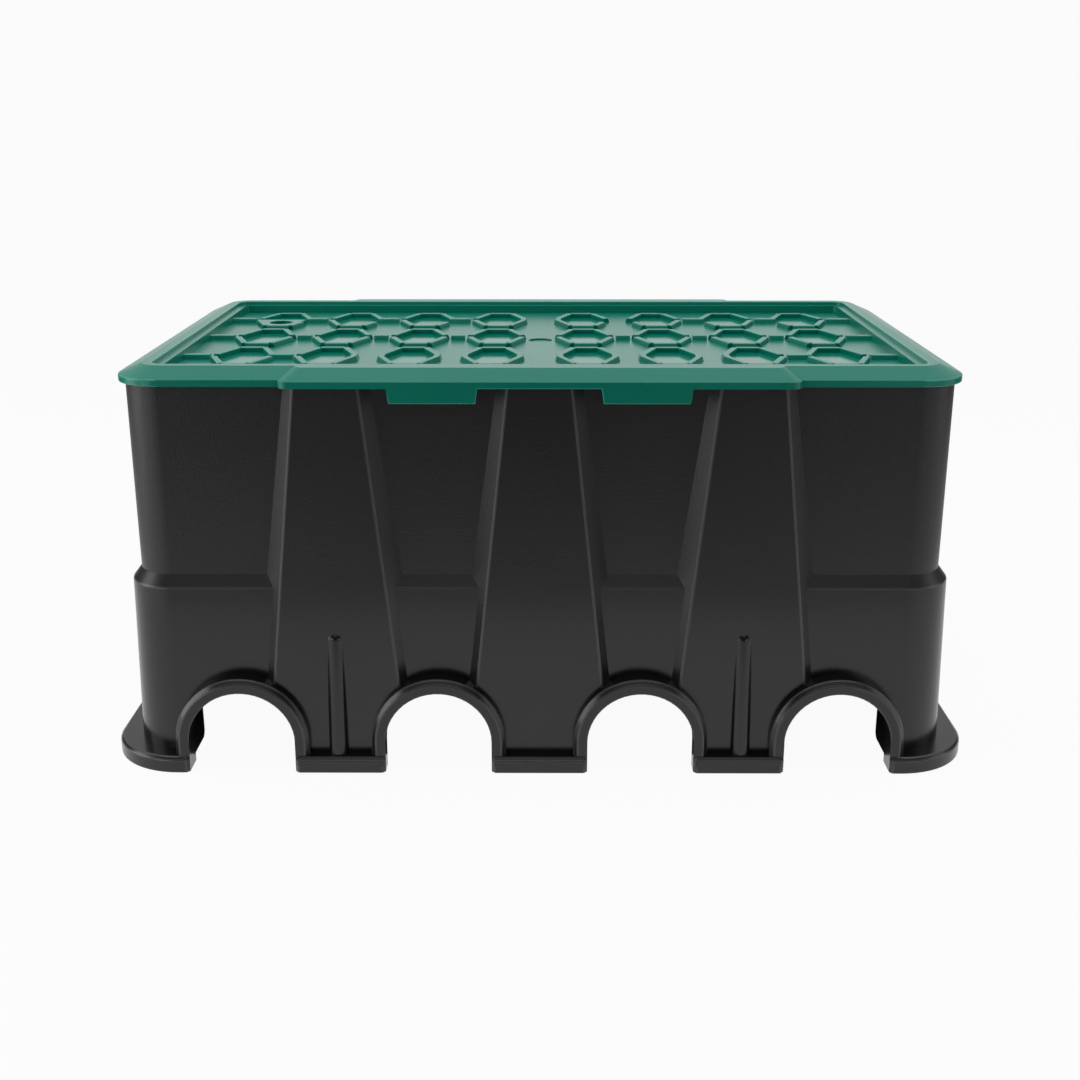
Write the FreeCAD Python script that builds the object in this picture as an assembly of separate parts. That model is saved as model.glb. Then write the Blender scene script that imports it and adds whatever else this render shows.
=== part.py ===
import FreeCAD, Part
import math
import os

os.makedirs("parts", exist_ok=True)

V = FreeCAD.Vector

# A rectangular irrigation valve box: a black moulded body, open above and below, and a green
# moulded lid that drops over its rim. X is the long side, Y the short one with the front at -Y,
# and Z is up. The origin is on the ground, under the middle of the box. Millimetres throughout.

# Body: upper wall
body_length = 620.0
body_depth = 370.0
body_corner = 30.0
wall = 4.5
rim_height = 300.5

# Body: shoulder and wider lower wall
shoulder_top = 153.5
shoulder_drop = 9.0
shoulder_step = 7.0
lower_flare = 3.5

# Body: tapered pilasters on the long sides, with flanks at 45 degrees
pilaster_end_margin = 154.0
pilaster_top_width = 47.0
pilaster_foot_width = 111.0
pilaster_top_reach = 8.0
pilaster_foot_reach = 17.0
pilaster_round = 3.0

# Body: half-round ribs on the outer pilasters
finger_foot_radius = 7.7
finger_top_radius = 5.2
finger_top_height = 104.5

# Body: pipe arches with raised collars
arch_radius = 41.0
arch_centre_height = 24.0
outer_arch_shift = 4.0
collar_width = 11.0
collar_reach = 14.5
collar_ease = 3.5

# Body: foot flange
flange_reach = 17.5
flange_thickness = 13.0
flange_ease = 2.5

# Body: gussets inside, beside the outer arches
gusset_gap = 4.0
gusset_thickness = 5.0
gusset_reach = 46.0
gusset_height = 95.0
gusset_round = 6.0

# Lid: outside form
lid_clearance = 1.5
skirt_height = 5.0
skirt_thickness = 3.5
bevel_height = 7.5
bevel_run = 17.5
crest_width = 7.5
lid_seat = 1.5

# Lid: nose over the pilasters, front and back
nose_margin = 21.0
nose_corner = 7.0
nose_end_run = 10.0

# Lid: finger tabs under the nose
tab_width = 66.4
tab_drop = 11.0
tab_draft = 1.7

# Lid: recess for the tread
step_depth = 3.2
ledge_width = 7.0
recess_depth = 6.8
recess_draft = 0.8
recess_corner = 4.0
floor_thickness = 4.0

# Lid: tread of octagon rings made of straight bars, with link bars between them
ring_rows = 3
ring_columns_per_half = 4
ring_rim_gap_x = 22.4
ring_rim_gap_y = 24.7
ring_gap_x = 14.0
ring_gap_y = 13.3
centre_gap_extra = 9.7
ring_end_flat = 17.5
ring_side_flat = 10.0
bar_width = 6.5
bar_height = 4.0
bar_slope = 1.7
link_width = 9.0
link_gap = 1.0
link_shift = 4.0
drain_cut = 12.0

# Lid: lifting hole in a boss, and the shallow round mark of the mould's gate
lift_hole_radius = 10.3
lift_hole_shift = 20.0
gate_radius = 10.0
gate_depth = 1.2

# Lid: webs and ribs below
web_thickness = 3.0
web_pitch = 70.0
under_rib_thickness = 3.0
under_rib_depth = 14.0

# Overlap that joins two forms of one moulding, reach of a cut past a face, and the distance
# within which an edge counts as lying at a place
weld = 1.0
past = 5.0
touch = 0.01

# Heights that follow
shoulder_bottom = shoulder_top - shoulder_drop
skirt_bottom = rim_height - lid_seat
skirt_top = skirt_bottom + skirt_height
crest = skirt_top + bevel_height
ledge = crest - step_depth
tread_floor = ledge - recess_depth
lid_underside = tread_floor - floor_thickness

# Plan sizes that follow
lower_length = body_length + 2 * shoulder_step
lower_depth = body_depth + 2 * shoulder_step
foot_length = lower_length + 2 * lower_flare
foot_depth = lower_depth + 2 * lower_flare
flange_corner = body_corner + shoulder_step + lower_flare + flange_reach
flange_length = foot_length + 2 * flange_reach
flange_depth = foot_depth + 2 * flange_reach
pilaster_pitch = body_length / 2 - pilaster_end_margin
inner_arch_offset = pilaster_pitch / 2
outer_arch_offset = pilaster_pitch + inner_arch_offset - outer_arch_shift
lid_overhang = skirt_thickness + lid_clearance
lid_length = body_length + 2 * lid_overhang
lid_depth = body_depth + 2 * lid_overhang
lid_corner = body_corner + lid_overhang
nose_length = 2 * pilaster_pitch + pilaster_top_width + nose_margin
nose_depth = lid_depth + 2 * pilaster_top_reach
tab_offset = pilaster_pitch / 2
ledge_length = lid_length - 2 * (bevel_run + crest_width)
ledge_depth = lid_depth - 2 * (bevel_run + crest_width)
recess_length = ledge_length - 2 * ledge_width
recess_depth_y = ledge_depth - 2 * ledge_width
plate_length = recess_length + 2 * floor_thickness
plate_depth = recess_depth_y + 2 * floor_thickness
ring_field = recess_length / 2 - ring_rim_gap_x + (ring_gap_x - centre_gap_extra) / 2
ring_pitch_x = ring_field / ring_columns_per_half
ring_pitch_y = (recess_depth_y - 2 * ring_rim_gap_y + ring_gap_y) / ring_rows
ring_centre_gap = ring_pitch_x + centre_gap_extra
ring_width = ring_pitch_x - ring_gap_x
ring_length = ring_pitch_y - ring_gap_y
ring_inner_x = ring_width / 2 - bar_width
ring_inner_y = ring_length / 2 - bar_width
pilaster_places = [-pilaster_pitch, 0.0, pilaster_pitch]
arch_places = [-outer_arch_offset, -inner_arch_offset, inner_arch_offset, outer_arch_offset]


def flat(points):
    """Flat face inside a straight-sided outline."""
    return Part.Face(Part.makePolygon(points + points[:1]))


def closed(faces):
    """Solid inside a closed set of faces."""
    shell = Part.makeShell(faces)
    shell.sewShape()
    solid = Part.makeSolid(shell)
    if solid.Volume < 0:
        solid.reverse()
    return solid


def tapered(foot, top):
    """Solid between two straight-sided outlines with the same number of corners."""
    faces = [flat(foot), flat(top)]
    for index in range(len(foot)):
        faces.append(flat([foot[index - 1], foot[index], top[index], top[index - 1]]))
    return closed(faces)


def rounded_rectangle(length, depth, radius, z):
    """Edges of a rectangle about the Z axis with round corners, going round to the left."""
    x = length / 2
    y = depth / 2
    c = radius * (1 - math.sqrt(0.5))
    arcs = []
    for sx, sy in ((1, -1), (1, 1), (-1, 1), (-1, -1)):
        side = V(sx * x, sy * (y - radius), z)
        end = V(sx * (x - radius), sy * y, z)
        middle = V(sx * (x - c), sy * (y - c), z)
        arcs.append((end, middle, side) if sx * sy < 0 else (side, middle, end))
    edges = []
    for index, (first, middle, last) in enumerate(arcs):
        edges.append(Part.Arc(first, middle, last).toShape())
        following = arcs[(index + 1) % len(arcs)][0]
        edges.append(Part.LineSegment(last, following).toShape())
    return edges


def prism(length, depth, radius, low, high):
    """Upright block with round corners."""
    outline = Part.Wire(rounded_rectangle(length, depth, radius, low))
    return Part.Face(outline).extrude(V(0, 0, high - low))


def side_between(low_edge, high_edge):
    """Side of a block, from an edge of its lower outline to the same edge of its upper one."""
    low_start, low_end = [vertex.Point for vertex in low_edge.Vertexes]
    high_start, high_end = [vertex.Point for vertex in high_edge.Vertexes]
    if isinstance(low_edge.Curve, Part.Line):
        return flat([low_start, low_end, high_end, high_start])
    low_centre = low_edge.Curve.Center
    high_centre = high_edge.Curve.Center
    if math.hypot(high_centre.x - low_centre.x, high_centre.y - low_centre.y) > touch:
        return Part.makeRuledSurface(low_edge, high_edge)
    return Part.makeLine(low_start, high_start).revolve(low_centre, V(0, 0, 1), 90)


def frustum(low_sizes, low, high_sizes, high):
    """Block with round corners whose plan changes from one height to another."""
    low_edges = rounded_rectangle(*low_sizes, low)
    high_edges = rounded_rectangle(*high_sizes, high)
    faces = [Part.Face(Part.Wire(low_edges)), Part.Face(Part.Wire(high_edges))]
    for low_edge, high_edge in zip(low_edges, high_edges):
        faces.append(side_between(low_edge, high_edge))
    return closed(faces)


def box(x0, x1, y0, y1, z0, z1):
    """Block between two corners."""
    return Part.makeBox(x1 - x0, y1 - y0, z1 - z0, V(x0, y0, z0))


def extruded(points, direction):
    """Solid of a straight-sided outline pushed along a direction."""
    return flat(points).extrude(direction)


def both_long_sides(shape):
    """A front form with its mirror image at the back."""
    return [shape, shape.mirror(V(0, 0, 0), V(0, 1, 0))]


def both_short_sides(shape):
    """A form on one end with its mirror image on the other."""
    return [shape, shape.mirror(V(0, 0, 0), V(1, 0, 0))]


def joined(shapes):
    """One solid from overlapping forms, with no seams across flat faces."""
    return shapes[0].multiFuse(shapes[1:]).removeSplitter()


# Box body


def wall_form(inset, reach):
    """The body's walls as a solid block, drawn in by an inset and run past its ends by a reach."""
    low_flare = lower_flare * (shoulder_bottom + reach) / shoulder_bottom
    upper = (body_length - 2 * inset, body_depth - 2 * inset, body_corner - inset)
    mid = [size + 2 * shoulder_step for size in upper[:2]] + [upper[2] + shoulder_step]
    foot = [size + 2 * low_flare for size in mid[:2]] + [mid[2] + low_flare]
    pieces = [
        prism(*upper, shoulder_top, rim_height + reach),
        frustum(mid, shoulder_bottom, upper, shoulder_top),
        frustum(foot, -reach, mid, shoulder_bottom),
    ]
    return joined(pieces)


def pilaster_face(z):
    """Y of a front pilaster's face at a height."""
    reach = pilaster_foot_reach + (pilaster_top_reach - pilaster_foot_reach) * z / rim_height
    return -(body_depth / 2 + reach)


def pilaster(x, inset, low, high):
    """Tapered pilaster of the front wall, with 45 degree flanks that run into the wall."""
    root = -(body_depth / 2 - wall - inset)
    rings = []
    for z in (low, high):
        face = pilaster_face(z) + inset
        width = pilaster_foot_width + (pilaster_top_width - pilaster_foot_width) * z / rim_height
        half = width / 2 - inset * math.tan(math.pi / 8)
        half_root = half + (root - face)
        rings.append(
            [
                V(x - half, face, z),
                V(x + half, face, z),
                V(x + half_root, root, z),
                V(x - half_root, root, z),
            ]
        )
    solid = tapered(*rings)
    if inset == 0.0:
        upright = [e for e in solid.Edges if e.BoundBox.ZLength > high - low - touch]
        front = [e for e in upright if e.CenterOfMass.y < pilaster_face(high)]
        solid = solid.makeFillet(pilaster_round, front)
    return solid


def arch_outline(x, y, radius, low):
    """Upright arch in a plane across Y: a half round on two straight legs."""
    left = V(x - radius, y, arch_centre_height)
    right = V(x + radius, y, arch_centre_height)
    top = V(x, y, arch_centre_height + radius)
    edges = [
        Part.Arc(left, top, right).toShape(),
        Part.LineSegment(right, V(x + radius, y, low)).toShape(),
        Part.LineSegment(V(x + radius, y, low), V(x - radius, y, low)).toShape(),
        Part.LineSegment(V(x - radius, y, low), left).toShape(),
    ]
    return Part.Face(Part.Wire(edges))


def collar(x, depth):
    """Raised collar round a pipe arch in a wall across Y, with an eased outer edge."""
    front = -(depth / 2 + collar_reach)
    length = collar_reach + wall
    solid = arch_outline(x, front, arch_radius + collar_width, 0.0).extrude(V(0, length, 0))
    outer = [e for e in solid.Edges if e.BoundBox.YMax < front + touch and e.BoundBox.ZMax > touch]
    return solid.makeChamfer(collar_ease, outer)


def arch_cut(x, depth):
    """Passage of a pipe arch through wall, collar and flange."""
    front = -(depth / 2 + flange_reach + past)
    length = flange_reach + past + 2 * wall + shoulder_step + lower_flare
    return arch_outline(x, front, arch_radius, -past).extrude(V(0, length, 0))


def on_short_side(shape):
    """A front form turned to the end at -X."""
    turned = shape.copy()
    turned.rotate(V(0, 0, 0), V(0, 0, 1), -90)
    return turned


def finger_rib(x):
    """Half-round rib with a domed top, sinking into a front pilaster's face as it rises."""
    sink = math.sqrt(finger_foot_radius**2 - finger_top_radius**2)
    foot = V(x, pilaster_face(0.0), 0.0)
    top = V(x, pilaster_face(finger_top_height) + sink, finger_top_height)
    axis = top.sub(foot)
    stem = Part.makeCylinder(finger_foot_radius, axis.Length, foot, axis)
    dome = Part.makeSphere(finger_foot_radius, top)
    reach = 2 * finger_foot_radius
    below = box(x - reach, x + reach, foot.y - reach, foot.y + reach, -reach, 0.0)
    return stem.fuse(dome).cut(below)


def gusset(x):
    """Sloped plate inside the front wall, beside an outer arch."""
    back = -(foot_depth / 2 - wall / 2)
    tip = -(foot_depth / 2 - wall - gusset_reach)
    lean = lower_flare * gusset_height / shoulder_bottom
    points = [
        V(x, back, 0.0),
        V(x, tip, 0.0),
        V(x, tip, gusset_height / 2),
        V(x, back + lean, gusset_height),
    ]
    plate = extruded(points, V(gusset_thickness, 0, 0))
    across = [e for e in plate.Edges if e.BoundBox.XLength > gusset_thickness - touch]
    toe = [e for e in across if e.BoundBox.ZMax < touch and e.BoundBox.YMin > tip - touch]
    return plate.makeFillet(gusset_round, toe)


def flange():
    """Foot flange, interrupted by the pipe arches, with eased upper edges and ends."""
    plate = prism(flange_length, flange_depth, flange_corner, 0.0, flange_thickness)
    hole = prism(foot_length - 2 * wall, foot_depth - 2 * wall, body_corner, -past, flange_thickness + past)
    blocks = plate.cut(hole)
    for tool in passages():
        blocks = blocks.cut(tool)
    eased = []
    for block in blocks.Solids:
        outer = []
        for edge in block.Edges:
            centre = edge.CenterOfMass
            past_ends = abs(centre.x) > foot_length / 2
            past_sides = abs(centre.y) > foot_depth / 2
            if (past_ends or past_sides) and centre.z > touch:
                outer.append(edge)
        eased.append(block.makeChamfer(flange_ease, outer))
    return eased


def passages():
    """Every pipe arch passage: four in each long side, one in each end."""
    cuts = []
    for x in arch_places:
        cuts += both_long_sides(arch_cut(x, foot_depth))
    cuts += both_short_sides(on_short_side(arch_cut(0.0, foot_length)))
    return cuts


def box_body():
    """The black moulding."""
    solid = wall_form(0.0, 0.0)
    pilasters = []
    hollows = []
    for x in pilaster_places:
        pilasters += both_long_sides(pilaster(x, 0.0, 0.0, rim_height))
        hollows += both_long_sides(pilaster(x, wall, -past, rim_height + past))
    fingers = []
    for x in (pilaster_places[0], pilaster_places[-1]):
        fingers += both_long_sides(finger_rib(x))
    collars = both_short_sides(on_short_side(collar(0.0, foot_length)))
    for x in arch_places:
        collars += both_long_sides(collar(x, foot_depth))
    gussets = []
    for plate in both_short_sides(gusset(outer_arch_offset + arch_radius + gusset_gap)):
        gussets += both_long_sides(plate)
    for group in (pilasters, fingers, collars, flange()):
        solid = solid.multiFuse(group)
    solid = solid.cut(wall_form(wall, past))
    solid = solid.cut(hollows)
    solid = solid.multiFuse(gussets)
    solid = solid.cut(passages())
    return solid.removeSplitter()


# Lid


def lid_form(inset, low, top):
    """Outside form of the lid as a block, or its hollow when drawn in by an inset."""
    base = (lid_length - 2 * inset, lid_depth - 2 * inset, lid_corner - inset)
    high = [size - 2 * bevel_run for size in base[:2]] + [base[2] - bevel_run]
    nose = (nose_length - 2 * inset, nose_depth - 2 * inset, nose_corner - inset)
    nose_high = (nose[0] - 2 * nose_end_run, nose[1] - 2 * bevel_run, nose[2])
    rise = top - bevel_height
    forms = []
    for sizes, high_sizes in ((base, high), (nose, nose_high)):
        forms += [prism(*sizes, low, rise), frustum(sizes, rise, high_sizes, top)]
    return joined(forms)


def ring_corners():
    """Corners inside a tread ring about the Z axis, on the tread floor, going round to the left."""
    x = ring_inner_x
    y = ring_inner_y
    end = ring_end_flat / 2
    side = ring_side_flat / 2
    places = [(end, -y), (x, -side), (x, side), (end, y), (-end, y), (-x, side), (-x, -side), (-end, -y)]
    return [V(place[0], place[1], tread_floor) for place in places]


def tread_bar(start, end):
    """Straight bar of a ring, upright inside and sloped outside, with square ends."""
    along = end.sub(start).normalize()
    out = V(along.y, -along.x, 0)
    first = start - along * weld - V(0, 0, weld)
    rise = V(0, 0, bar_height + weld)
    section = [first, first + out * bar_width, first + out * (bar_width - bar_slope) + rise, first + rise]
    return extruded(section, end - start + along * (2 * weld))


def ring_x(column):
    """Middle of a ring's column on the +X half, counted from the centre line."""
    return ring_centre_gap / 2 + column * ring_pitch_x


def link_bar(start, end, y):
    """Bar with sloped sides along X, between two rings or from a ring to the rim."""
    low = tread_floor - weld
    high = tread_floor + bar_height
    half = link_width / 2
    section = [
        V(start, y - half, low),
        V(start, y + half, low),
        V(start, y + half - bar_slope, high),
        V(start, y - half + bar_slope, high),
    ]
    return extruded(section, V(end - start, 0, 0))


def ring_bars(row, column, first_linked):
    """Bars of one ring on the +X half. A side next to a link bar stays open, and so does the drain."""
    corners = ring_corners()
    outer_near = 0
    outer_side = 1
    inner_side = 5
    inner_near = 6
    open_sides = []
    if row >= 0 or column >= ring_columns_per_half - 2:
        open_sides.append(outer_side)
    if row == 0 or (column > 0 and (row > 0 or column == ring_columns_per_half - 1)):
        open_sides.append(inner_side)
    bars = []
    for index, start in enumerate(corners):
        end = corners[(index + 1) % len(corners)]
        cut = end.sub(start).normalize() * drain_cut
        if index == inner_near and row > 0 and column > 0:
            start = start + cut
        if index == outer_near and row > 0 and column < first_linked:
            end = end - cut
        if index not in open_sides:
            bars.append(tread_bar(start, end))
    for bar in bars:
        bar.translate(V(ring_x(column), row * ring_pitch_y, 0))
    return bars


def half_tread(first_linked):
    """Rings and link bars on the +X half of the lid. The back row has its links from one column on."""
    last = ring_columns_per_half - 1
    reach = ring_width / 2 + link_gap
    pieces = []
    for row in (-1, 0, 1):
        y = row * ring_pitch_y + link_shift
        for column in range(ring_columns_per_half):
            pieces += ring_bars(row, column, first_linked)
            linked = (column == last - 1, True, column >= first_linked)[row + 1]
            if linked and column < last:
                following = ring_x(column + 1)
                end = following - reach if row == 0 else following - ring_inner_x
                pieces.append(link_bar(ring_x(column) + reach, end, y))
        pieces.append(link_bar(ring_x(last) + reach, recess_length / 2 + weld, y))
    return pieces


def lift_boss(x, y):
    """Raised floor in the near half of the ring that holds the lifting hole."""
    end = ring_end_flat / 2 + weld
    side = ring_inner_x + weld
    near = -ring_inner_y - weld
    far = -ring_side_flat / 2
    low = tread_floor - weld
    outline = [V(-end, near, low), V(end, near, low), V(side, far, low), V(-side, far, low)]
    boss = extruded(outline, V(0, 0, bar_height + weld))
    boss.translate(V(x, y, 0))
    return boss


def under_ribs():
    """Stiffening ribs below the tread floor: a frame, two long ribs and the cross ribs."""
    low = lid_underside - under_rib_depth
    high = lid_underside + weld
    inner_length = plate_length - 2 * under_rib_thickness
    inner_depth = plate_depth - 2 * under_rib_thickness
    frame = prism(plate_length, plate_depth, recess_corner + floor_thickness, low, high)
    frame = frame.cut(prism(inner_length, inner_depth, recess_corner, low, high))
    half_x = inner_length / 2 + weld
    half_y = inner_depth / 2 + weld
    t = under_rib_thickness / 2
    ribs = [frame]
    for row in (-0.5, 0.5):
        y = row * ring_pitch_y
        ribs.append(box(-half_x, half_x, y - t, y + t, low, high))
    for column in range(ring_columns_per_half):
        x = ring_x(column) - ring_pitch_x / 2 if column else 0.0
        for side in sorted({-x, x}):
            ribs.append(box(side - t, side + t, -half_y, half_y, low, high))
    return ribs


def rim_webs():
    """Webs under the bevel that carry the lid on the body's rim."""
    t = web_thickness / 2
    top = ledge - skirt_thickness
    outer_x = lid_length / 2 - bevel_run / 2
    outer_y = lid_depth / 2 - bevel_run / 2
    webs = []
    along_x = int((plate_length / 2 - lid_corner) // web_pitch)
    along_y = int((plate_depth / 2 - lid_corner) // web_pitch)
    for step in range(-along_x, along_x + 1):
        x = step * web_pitch
        web = box(x - t, x + t, -outer_y, -plate_depth / 2 + weld, rim_height, top)
        webs += both_long_sides(web)
    for step in range(-along_y, along_y + 1):
        y = step * web_pitch
        web = box(-outer_x, -plate_length / 2 + weld, y - t, y + t, rim_height, top)
        webs += both_short_sides(web)
    return webs


def finger_tabs():
    """Two thin tabs below each nose, flush with its skirt and a little narrower at the foot."""
    tabs = []
    front = -nose_depth / 2
    top = skirt_bottom + weld
    foot = skirt_bottom - tab_drop
    half = tab_width / 2
    for x in (-tab_offset, tab_offset):
        outline = [
            V(x - half + tab_draft, front, foot),
            V(x + half - tab_draft, front, foot),
            V(x + half, front, top),
            V(x - half, front, top),
        ]
        tabs += both_long_sides(extruded(outline, V(0, skirt_thickness, 0)))
    return tabs


def lid():
    """The green moulding."""
    plate_corner = recess_corner + floor_thickness
    plate = prism(plate_length, plate_depth, plate_corner, lid_underside, tread_floor + weld)
    blank = lid_form(0.0, skirt_bottom, crest)
    hollow = lid_form(skirt_thickness, skirt_bottom - past, crest - skirt_thickness)
    core = prism(plate_length, plate_depth, plate_corner, skirt_bottom - 2 * past, crest)
    ledge_core = prism(
        ledge_length + 2 * floor_thickness,
        ledge_depth + 2 * floor_thickness,
        plate_corner + ledge_width,
        ledge - floor_thickness,
        crest,
    )
    shell = blank.cut(hollow.cut([core, ledge_core]))
    shell = shell.multiFuse([plate] + finger_tabs())
    step = (ledge_length, ledge_depth, recess_corner + ledge_width)
    well = (recess_length, recess_depth_y, recess_corner)
    for sizes, low, high in ((step, ledge, crest), (well, tread_floor, ledge)):
        drawn_in = (sizes[0] - 2 * recess_draft, sizes[1] - 2 * recess_draft, sizes[2] - recess_draft)
        shell = shell.cut(frustum(drawn_in, low, sizes, high))
    tread = half_tread(1)
    for piece in half_tread(0):
        tread.append(both_short_sides(piece)[1])
    shell = shell.multiFuse(tread + under_ribs() + rim_webs())
    lift_x = -ring_x(ring_columns_per_half - 1)
    shell = shell.fuse(lift_boss(lift_x, ring_pitch_y))
    lift_place = V(lift_x, ring_pitch_y - lift_hole_shift, lid_underside - past)
    shell = shell.cut(Part.makeCylinder(lift_hole_radius, crest - lid_underside + past, lift_place))
    shell = shell.cut(Part.makeCylinder(gate_radius, past, V(0, 0, tread_floor - gate_depth)))
    return shell.removeSplitter()


for name, shape in (("box_body", box_body()), ("lid", lid())):
    print(name, shape.isValid(), len(shape.Solids), round(shape.Volume / 1000.0), "cm3", shape.BoundBox)
    shape.exportStep("parts/" + name + ".step")
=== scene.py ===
import math

import bmesh
import bpy
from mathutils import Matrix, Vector


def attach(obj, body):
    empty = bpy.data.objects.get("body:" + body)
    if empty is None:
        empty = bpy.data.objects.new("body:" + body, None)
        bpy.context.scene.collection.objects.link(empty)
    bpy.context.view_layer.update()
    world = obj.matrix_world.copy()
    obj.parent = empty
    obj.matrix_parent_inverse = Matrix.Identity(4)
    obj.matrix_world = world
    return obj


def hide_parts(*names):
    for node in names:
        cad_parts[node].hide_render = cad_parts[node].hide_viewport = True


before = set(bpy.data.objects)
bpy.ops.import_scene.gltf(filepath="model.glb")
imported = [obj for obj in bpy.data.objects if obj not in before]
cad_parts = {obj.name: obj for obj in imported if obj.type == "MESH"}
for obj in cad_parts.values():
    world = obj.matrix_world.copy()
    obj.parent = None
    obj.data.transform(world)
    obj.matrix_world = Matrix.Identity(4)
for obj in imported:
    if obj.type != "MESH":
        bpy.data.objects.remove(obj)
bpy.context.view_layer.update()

# Box body: one black moulding of recycled polypropylene, open above and below. The tool leaves a fine
# spark grain on the upper walls, a smoother skin below the shoulder, and every edge slightly round.

corner_axis = (0.280, 0.155)
corner_reach = 0.001
corner_turn = math.radians(30)
level_share = 0.05


def corner_normal(place, normal):
    """Normal on an upright corner turned to the corner's axis, or the same normal anywhere else."""
    if abs(place.x) < corner_axis[0] or abs(place.y) < corner_axis[1]:
        return normal
    away = Vector((
        place.x - math.copysign(corner_axis[0], place.x),
        place.y - math.copysign(corner_axis[1], place.y),
    ))
    side = normal.to_2d()
    if side.length < level_share or away.length < corner_reach:
        return normal
    away = away.normalized() * math.copysign(side.length, away.dot(side))
    if away.angle(side) > corner_turn:
        return normal
    return Vector((away.x, away.y, normal.z))


least_area = 1e-12


def fan_normals(vert):
    """For each face at a vertex, the mean normal up to the next creases, where large faces count most."""
    found = {}
    for first in vert.link_faces:
        if first in found:
            continue
        fan = [first]
        for face in fan:
            for edge in face.edges:
                if edge.smooth and vert in edge.verts:
                    fan += [near for near in edge.link_faces if near not in fan]
        smallest = max(min(face.calc_area() for face in fan), least_area)
        shares = [face.normal * (face.calc_area() / smallest) ** 2 for face in fan]
        mean = sum(shares, Vector()).normalized()
        found.update({face: mean for face in fan})
    return found


weld_distance = 0.00002
facet_angle = math.radians(0.4)
edge_angle = math.radians(24)
crease_angle = math.radians(20)
round_angle = math.radians(50)
short_in_rounds = 1.5
fillet_width = 0.0012
fillet_length = 0.1
upright_share = 0.5
tread_floor = 0.3015
tread_top = 0.3055


def moulded(node, name, edge_round, steps):
    """Copy of a CAD node with its facets joined into whole faces, and its outer edges rounded and marked
    for a painted highlight.
    """
    form = bmesh.new()
    form.from_mesh(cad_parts[node].data)
    painted_highlight_mark = form.faces.layers.float.new("rounded")
    bmesh.ops.remove_doubles(form, verts=form.verts, dist=weld_distance)
    low = {vert for vert in form.verts if abs(vert.co.z - tread_floor) < weld_distance}
    tread = low.union(vert for vert in form.verts if abs(vert.co.z - tread_top) < weld_distance)
    free = [vert for vert in form.verts if vert not in tread]
    between = [edge for edge in form.edges if not tread.issuperset(edge.verts)]
    bmesh.ops.dissolve_limit(form, angle_limit=facet_angle, verts=free, edges=between)
    short = [edge for edge in form.edges if edge.calc_length() < edge_round * short_in_rounds]
    kept = low.union(*(edge.verts for edge in short))
    sharp = [
        edge
        for edge in form.edges
        if edge.calc_face_angle_signed(0) > edge_angle and kept.isdisjoint(edge.verts)
    ]
    rounded = bmesh.ops.bevel(
        form,
        geom=sharp,
        offset=edge_round,
        offset_type="OFFSET",
        affect="EDGES",
        segments=steps,
        profile=0.5,
        material=-1,
        clamp_overlap=False,
    )
    form.normal_update()
    for edge in form.edges:
        edge.smooth = edge.calc_face_angle(math.pi) < crease_angle
    # Bevel faces are marked for the painted highlight along the edges.
    for face in rounded["faces"]:
        face[painted_highlight_mark] = 1.0
        for edge in face.edges:
            edge.smooth = edge.smooth or 0 < edge.calc_face_angle_signed(0) < round_angle
    for face in form.faces:
        face.smooth = True
        length = max(edge.calc_length() for edge in face.edges)
        upright = abs(face.normal.z) < upright_share
        # Long, narrow upright fillet faces are marked for the painted highlight too.
        if upright and length > fillet_length and face.calc_area() < length * fillet_width:
            face[painted_highlight_mark] = 1.0
    fans = {vert: fan_normals(vert) for vert in form.verts}
    normals = [
        corner_normal(loop.vert.co, fans[loop.vert][face])
        for face in form.faces
        for loop in face.loops
    ]
    mesh = bpy.data.meshes.new(name)
    form.to_mesh(mesh)
    form.free()
    mesh.normals_split_custom_set(normals)
    piece = bpy.data.objects.new(name, mesh)
    bpy.context.scene.collection.objects.link(piece)
    return piece


class Socket:
    """A material's socket in plain arithmetic: each operator adds a Math node."""

    def __init__(self, tree, out=None):
        self.tree = tree
        self.out = out

    def make(self, kind, settings=None, output=0, **links):
        """Adds a node: settings first, then its sockets' values or links, by name or as i0, i1."""
        node = self.tree.nodes.new(kind)
        for name, value in (settings or {}).items():
            setattr(node, name, value)
        for name, value in links.items():
            place = int(name[1:]) if name[1:].isdigit() else name.replace("_", " ")
            if isinstance(value, Socket):
                self.tree.links.new(value.out, node.inputs[place])
            else:
                node.inputs[place].default_value = value
        return Socket(self.tree, node.outputs[output])

    def math(self, operation, other=0.0, last=0.0):
        return self.make("ShaderNodeMath", {"operation": operation}, i0=self, i1=other, i2=last)

    def wrapped(self, pitch):
        """The value brought to within half a pitch of zero."""
        return self.math("WRAP", pitch / 2, -pitch / 2)

    def blend(self, first, second):
        """The colour that lies this share of the way from the first to the second."""
        return self.make("ShaderNodeMix", {"data_type": "RGBA"}, output=2, i0=self, i6=first, i7=second)

    def __add__(self, other):
        return self.math("ADD", other)

    def __sub__(self, other):
        return self.math("SUBTRACT", other)

    def __mul__(self, other):
        return self.math("MULTIPLY", other)

    def __lt__(self, other):
        return self.math("LESS_THAN", other)

    def __abs__(self):
        return self.math("ABSOLUTE")

    def __rsub__(self, other):
        return self * -1.0 + other

    __radd__ = __add__
    __rmul__ = __mul__


grain_size = 0.0013
grain_depth = 0.0003
grain_detail = 2.0
clouds_per_metre = 9.0
cloud_detail = 3.0
cloud_share = 0.8
cloud_roughness = 0.08


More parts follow.
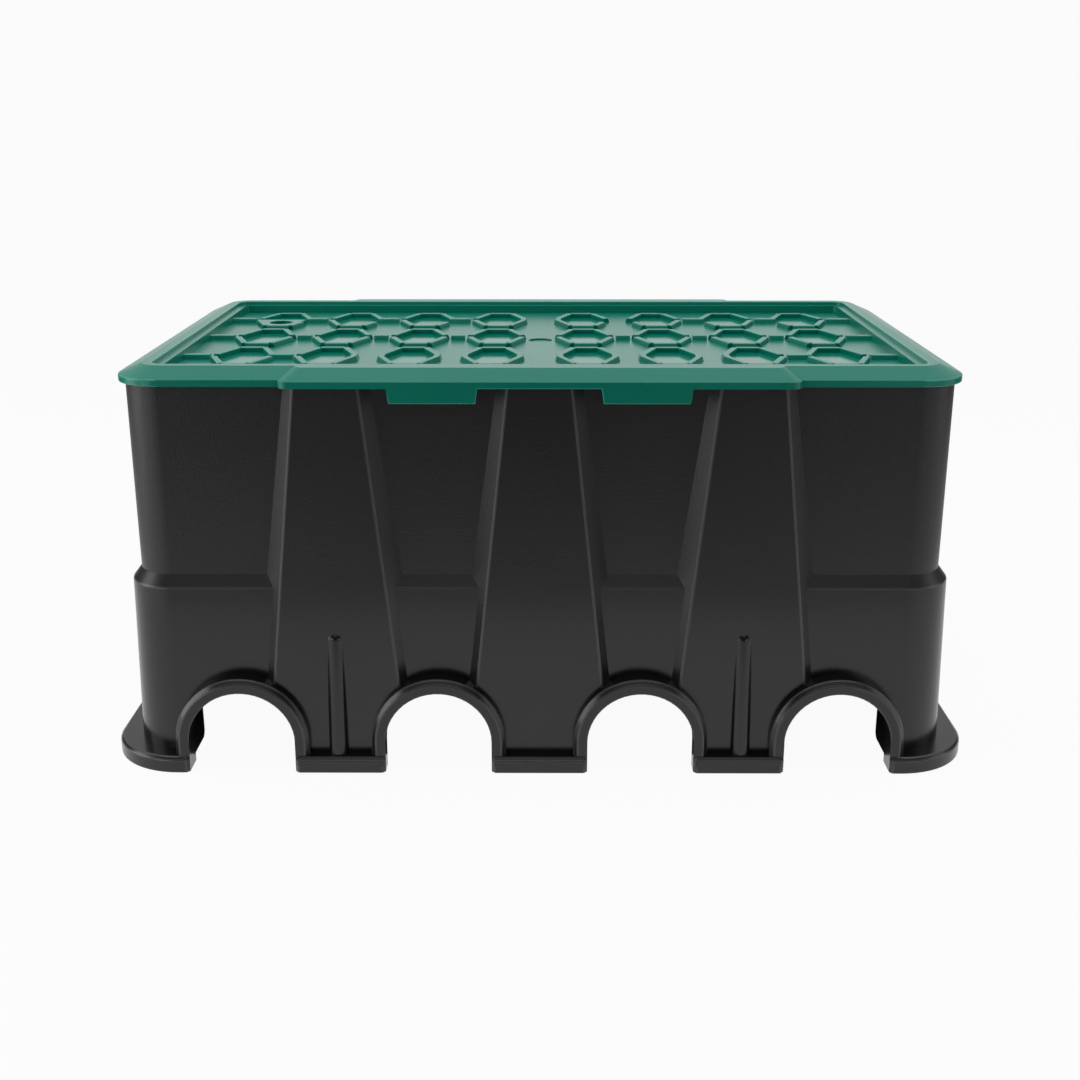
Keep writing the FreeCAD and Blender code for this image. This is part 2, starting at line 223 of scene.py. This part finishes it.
def plastic(name, colours, polished, grain, roughness, sheen):
    """Moulded plastic with a mottled colour, a painted highlight on its rounded edges, and a finer grain
    where it is polished.
    """
    material = bpy.data.materials.new(name)
    material.use_nodes = True
    tree = material.node_tree
    shader = tree.nodes["Principled BSDF"]
    start = Socket(tree)
    place = start.make("ShaderNodeTexCoord", output="Object")
    smooth = polished(place)
    speck = start.make("ShaderNodeTexNoise", Vector=place, Scale=1 / grain_size, Detail=grain_detail)
    clouds = start.make("ShaderNodeTexNoise", Vector=place, Scale=clouds_per_metre, Detail=cloud_detail)
    # Faces marked rounded take the third, paler colour: a painted highlight along the edges.
    edge = start.make("ShaderNodeAttribute", {"attribute_name": "rounded"}, output="Fac")
    mottling = clouds * cloud_share + speck * (1 - cloud_share)
    colour = edge.blend(mottling.blend(colours[0], colours[1]), colours[2])
    strength = grain[0] + smooth * (grain[1] - grain[0])
    bump = start.make("ShaderNodeBump", Strength=strength, Distance=grain_depth, Height=speck)
    gloss = roughness[0] + smooth * (roughness[1] - roughness[0]) + clouds * cloud_roughness
    tree.links.new(colour.out, shader.inputs["Base Color"])
    tree.links.new(gloss.out, shader.inputs["Roughness"])
    tree.links.new(bump.out, shader.inputs["Normal"])
    shader.inputs["Specular IOR Level"].default_value = sheen
    return material


shoulder_height = 0.149
shoulder_blend = 0.035


def below_shoulder(place):
    """1 on the smoother lower walls, 0 on the grained upper ones."""
    height = place.make("ShaderNodeSeparateXYZ", output="Z", Vector=place)
    return place.make(
        "ShaderNodeMapRange",
        {"interpolation_type": "SMOOTHSTEP"},
        Value=height,
        From_Min=shoulder_height + shoulder_blend,
        From_Max=shoulder_height - shoulder_blend,
    )


body_edge_round = 0.0010
body_round_steps = 3
black = (0.0065, 0.0065, 0.0075, 1)
black_worn = (0.0090, 0.0090, 0.0102, 1)
# Rounded edges and pilaster fillets take this paler black as a painted highlight.
black_painted_highlight = (0.055, 0.055, 0.058, 1)
body_blacks = (black, black_worn, black_painted_highlight)
body_grain = (0.7, 0.06)
body_roughness = (0.40, 0.20)
body_sheen = 0.5

body = moulded("box_body", "body_moulding", body_edge_round, body_round_steps)
body.data.materials.append(
    plastic("black_plastic", body_blacks, below_shoulder, body_grain, body_roughness, body_sheen)
)
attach(body, "box")
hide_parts("box_body")

# Lid: one green moulding that drops over the rim. Its tread is raised in the tool, the top skin is satin
# from even texturing, and the rim and rib edges are broken so that they don't chip.

ring_start = 0.0377
ring_pitch = (0.0657, 0.0933)
ring_half = (0.0195, 0.0335)
ring_diagonal = (0.0214, 0.0567)
ring_reach = 1.05
ring_field = (0.267, 0.139)
ring_height = 0.302


def ring_floors(place):
    """1 on the polished floors inside the tread's octagon rings, 0 on the field around them."""
    x = abs(place.make("ShaderNodeSeparateXYZ", output="X", Vector=place))
    y = place.make("ShaderNodeSeparateXYZ", output="Y", Vector=place)
    height = place.make("ShaderNodeSeparateXYZ", output="Z", Vector=place)
    across = abs((x - ring_start).wrapped(ring_pitch[0]))
    along = abs(y.wrapped(ring_pitch[1]))
    flats = (across * (1 / ring_half[0])).math("MAXIMUM", along * (1 / ring_half[1]))
    diagonals = across * (1 / ring_diagonal[0]) + along * (1 / ring_diagonal[1])
    inside = flats.math("MAXIMUM", diagonals) < ring_reach
    return inside * (x < ring_field[0]) * (height < ring_height) * (abs(y) < ring_field[1])


lid_edge_round = 0.0007
lid_round_steps = 2
green = (0.001, 0.215, 0.150, 1)
green_worn = (0.003, 0.245, 0.172, 1)
# Rounded rim, rib and tab edges take this paler green as a painted highlight.
green_painted_highlight = (0.03, 0.40, 0.30, 1)
lid_greens = (green, green_worn, green_painted_highlight)
lid_grain = (0.02, 0.01)
lid_roughness = (0.24, 0.10)
lid_sheen = 0.35

lid = moulded("lid", "lid_moulding", lid_edge_round, lid_round_steps)
lid.data.materials.append(
    plastic("green_plastic", lid_greens, ring_floors, lid_grain, lid_roughness, lid_sheen)
)
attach(lid, "lid")
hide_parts("lid")

# Stage: white paper that lies as a floor and turns up into a backdrop. It shows white to the viewer and in
# reflections, less so to the sides and not under the box, and keeps a soft shadow. Eight soft lamps stand
# above, in front, at both sides and low beside the box, under a pale dome that is dark towards the viewer.

white = (1, 1, 1, 1)
paper_grey = (0.6, 0.6, 0.6, 1)
shadow_share = 0.05
covered_half = (0.30, 0.18)
glow_half = (0.6, 1.2)
glow_end = 0.5

paper = bpy.data.materials.new("studio_paper")
paper.use_nodes = True
tree = paper.node_tree
tree.nodes.remove(tree.nodes["Principled BSDF"])
start = Socket(tree)
seen = start.make("ShaderNodeLightPath", output="Is Camera Ray")
mirrored = start.make("ShaderNodeLightPath", output="Is Glossy Ray")
through = start.make("ShaderNodeLightPath", output="Is Transmission Ray")
glow = start.make("ShaderNodeEmission", Color=white, Strength=1.0)
matt = start.make("ShaderNodeBsdfDiffuse", Color=paper_grey)
place = start.make("ShaderNodeTexCoord", output="Object")
across = abs(start.make("ShaderNodeSeparateXYZ", output="X", Vector=place))
along = abs(start.make("ShaderNodeSeparateXYZ", output="Y", Vector=place))
covered = (across < covered_half[0]) * (along < covered_half[1])
fading = start.make(
    "ShaderNodeMapRange",
    Value=across,
    From_Min=glow_half[0],
    From_Max=glow_half[1],
    To_Min=1.0,
    To_Max=glow_end,
)
white_share = (seen + mirrored * (1 - covered) * fading + through) * (1 - shadow_share)
shown = start.make("ShaderNodeMixShader", Fac=white_share, i1=matt, i2=glow)
tree.links.new(shown.out, tree.nodes["Material Output"].inputs["Surface"])

floor_front = -0.75
floor_back = 1.7
floor_side = 1.3
backdrop_top = 1.1

sheet = bmesh.new()
front = [sheet.verts.new((side * floor_side, floor_front, 0)) for side in (-1, 1)]
edge = sheet.edges.new(front)
for step in (Vector((0, floor_back - floor_front, 0)), Vector((0, 0, backdrop_top))):
    grown = bmesh.ops.extrude_edge_only(sheet, edges=[edge])["geom"]
    ends = [part for part in grown if isinstance(part, bmesh.types.BMVert)]
    bmesh.ops.translate(sheet, verts=ends, vec=step)
    edge = sheet.edges.get(ends)
floor_mesh = bpy.data.meshes.new("studio_floor")
sheet.to_mesh(floor_mesh)
sheet.free()
floor = bpy.data.objects.new("studio_floor", floor_mesh)
floor.data.materials.append(paper)
bpy.context.scene.collection.objects.link(floor)

dome_low = 0.06
dome_high = 0.75
dome_lean = 0.5
dome_start = 0.3
dome_full = 1.0

world = bpy.data.worlds.new("studio")
bpy.context.scene.world = world
world.use_nodes = True
start = Socket(world.node_tree)
direction = start.make("ShaderNodeTexCoord", output="Generated")
rise = start.make("ShaderNodeSeparateXYZ", output="Z", Vector=direction)
away = start.make("ShaderNodeSeparateXYZ", output="Y", Vector=direction)
dome = start.make(
    "ShaderNodeMapRange",
    {"interpolation_type": "SMOOTHSTEP"},
    Value=rise + away * dome_lean,
    From_Min=dome_start,
    From_Max=dome_full,
    To_Min=dome_low,
    To_Max=dome_high,
)
seen = start.make("ShaderNodeLightPath", output="Is Camera Ray")
background = world.node_tree.nodes["Background"]
background.inputs["Color"].default_value = white
world.node_tree.links.new((seen + (1 - seen) * dome).out, background.inputs["Strength"])


def softbox(name, place, aim, size, power):
    """Rectangular area lamp at a place, turned to a point."""
    lamp = bpy.data.lights.new(name, "AREA")
    lamp.shape = "RECTANGLE"
    lamp.size = size[0]
    lamp.size_y = size[1]
    lamp.energy = power
    holder = bpy.data.objects.new(name, lamp)
    holder.location = place
    holder.rotation_euler = (Vector(aim) - Vector(place)).to_track_quat("-Z", "Y").to_euler()
    bpy.context.scene.collection.objects.link(holder)


softbox("softbox_above", place=(0, -0.05, 1.7), aim=(0, -0.05, 0.2), size=(2.0, 0.7), power=8)
softbox("softbox_front", place=(0, -1.5, 1.6), aim=(0, -0.2, 0.15), size=(1.4, 0.4), power=1.5)
softbox("front_left", place=(-1.1, -1.35, 0.2), aim=(0, -0.15, 0.15), size=(0.5, 0.2), power=1.5)
softbox("front_right", place=(0.9, -1.45, 0.2), aim=(0, -0.15, 0.15), size=(0.5, 0.2), power=1.0)
softbox("softbox_left", place=(-1.6, -0.4, 0.5), aim=(0, -0.1, 0.15), size=(0.9, 1.1), power=9.5)
softbox("softbox_right", place=(1.6, -0.4, 0.5), aim=(0, -0.1, 0.15), size=(0.9, 1.1), power=3.5)
softbox("strip_left", place=(-1.2, -1.0, -0.2), aim=(0, -0.1, 0.0), size=(0.25, 0.9), power=1.2)
softbox("strip_right", place=(1.2, -1.0, -0.2), aim=(0, -0.1, 0.0), size=(0.25, 0.9), power=0.7)

# Camera: at the photograph's place, a little right of the middle of the long side, above the lid and
# looking slightly down.

camera_sensor = 36
camera_lens = 46.667
camera_place = (0.0042, -1.1924, 0.5006)
camera_tilt = math.radians(72.4)
camera_turn = math.radians(0.22)

camera = bpy.data.cameras.new("camera")
camera.sensor_width = camera_sensor
camera.lens = camera_lens
viewer = bpy.data.objects.new("camera", camera)
viewer.location = camera_place
viewer.rotation_euler = (camera_tilt, 0, camera_turn)
bpy.context.scene.collection.objects.link(viewer)
bpy.context.scene.camera = viewer
bpy.context.scene.view_settings.view_transform = "Standard"
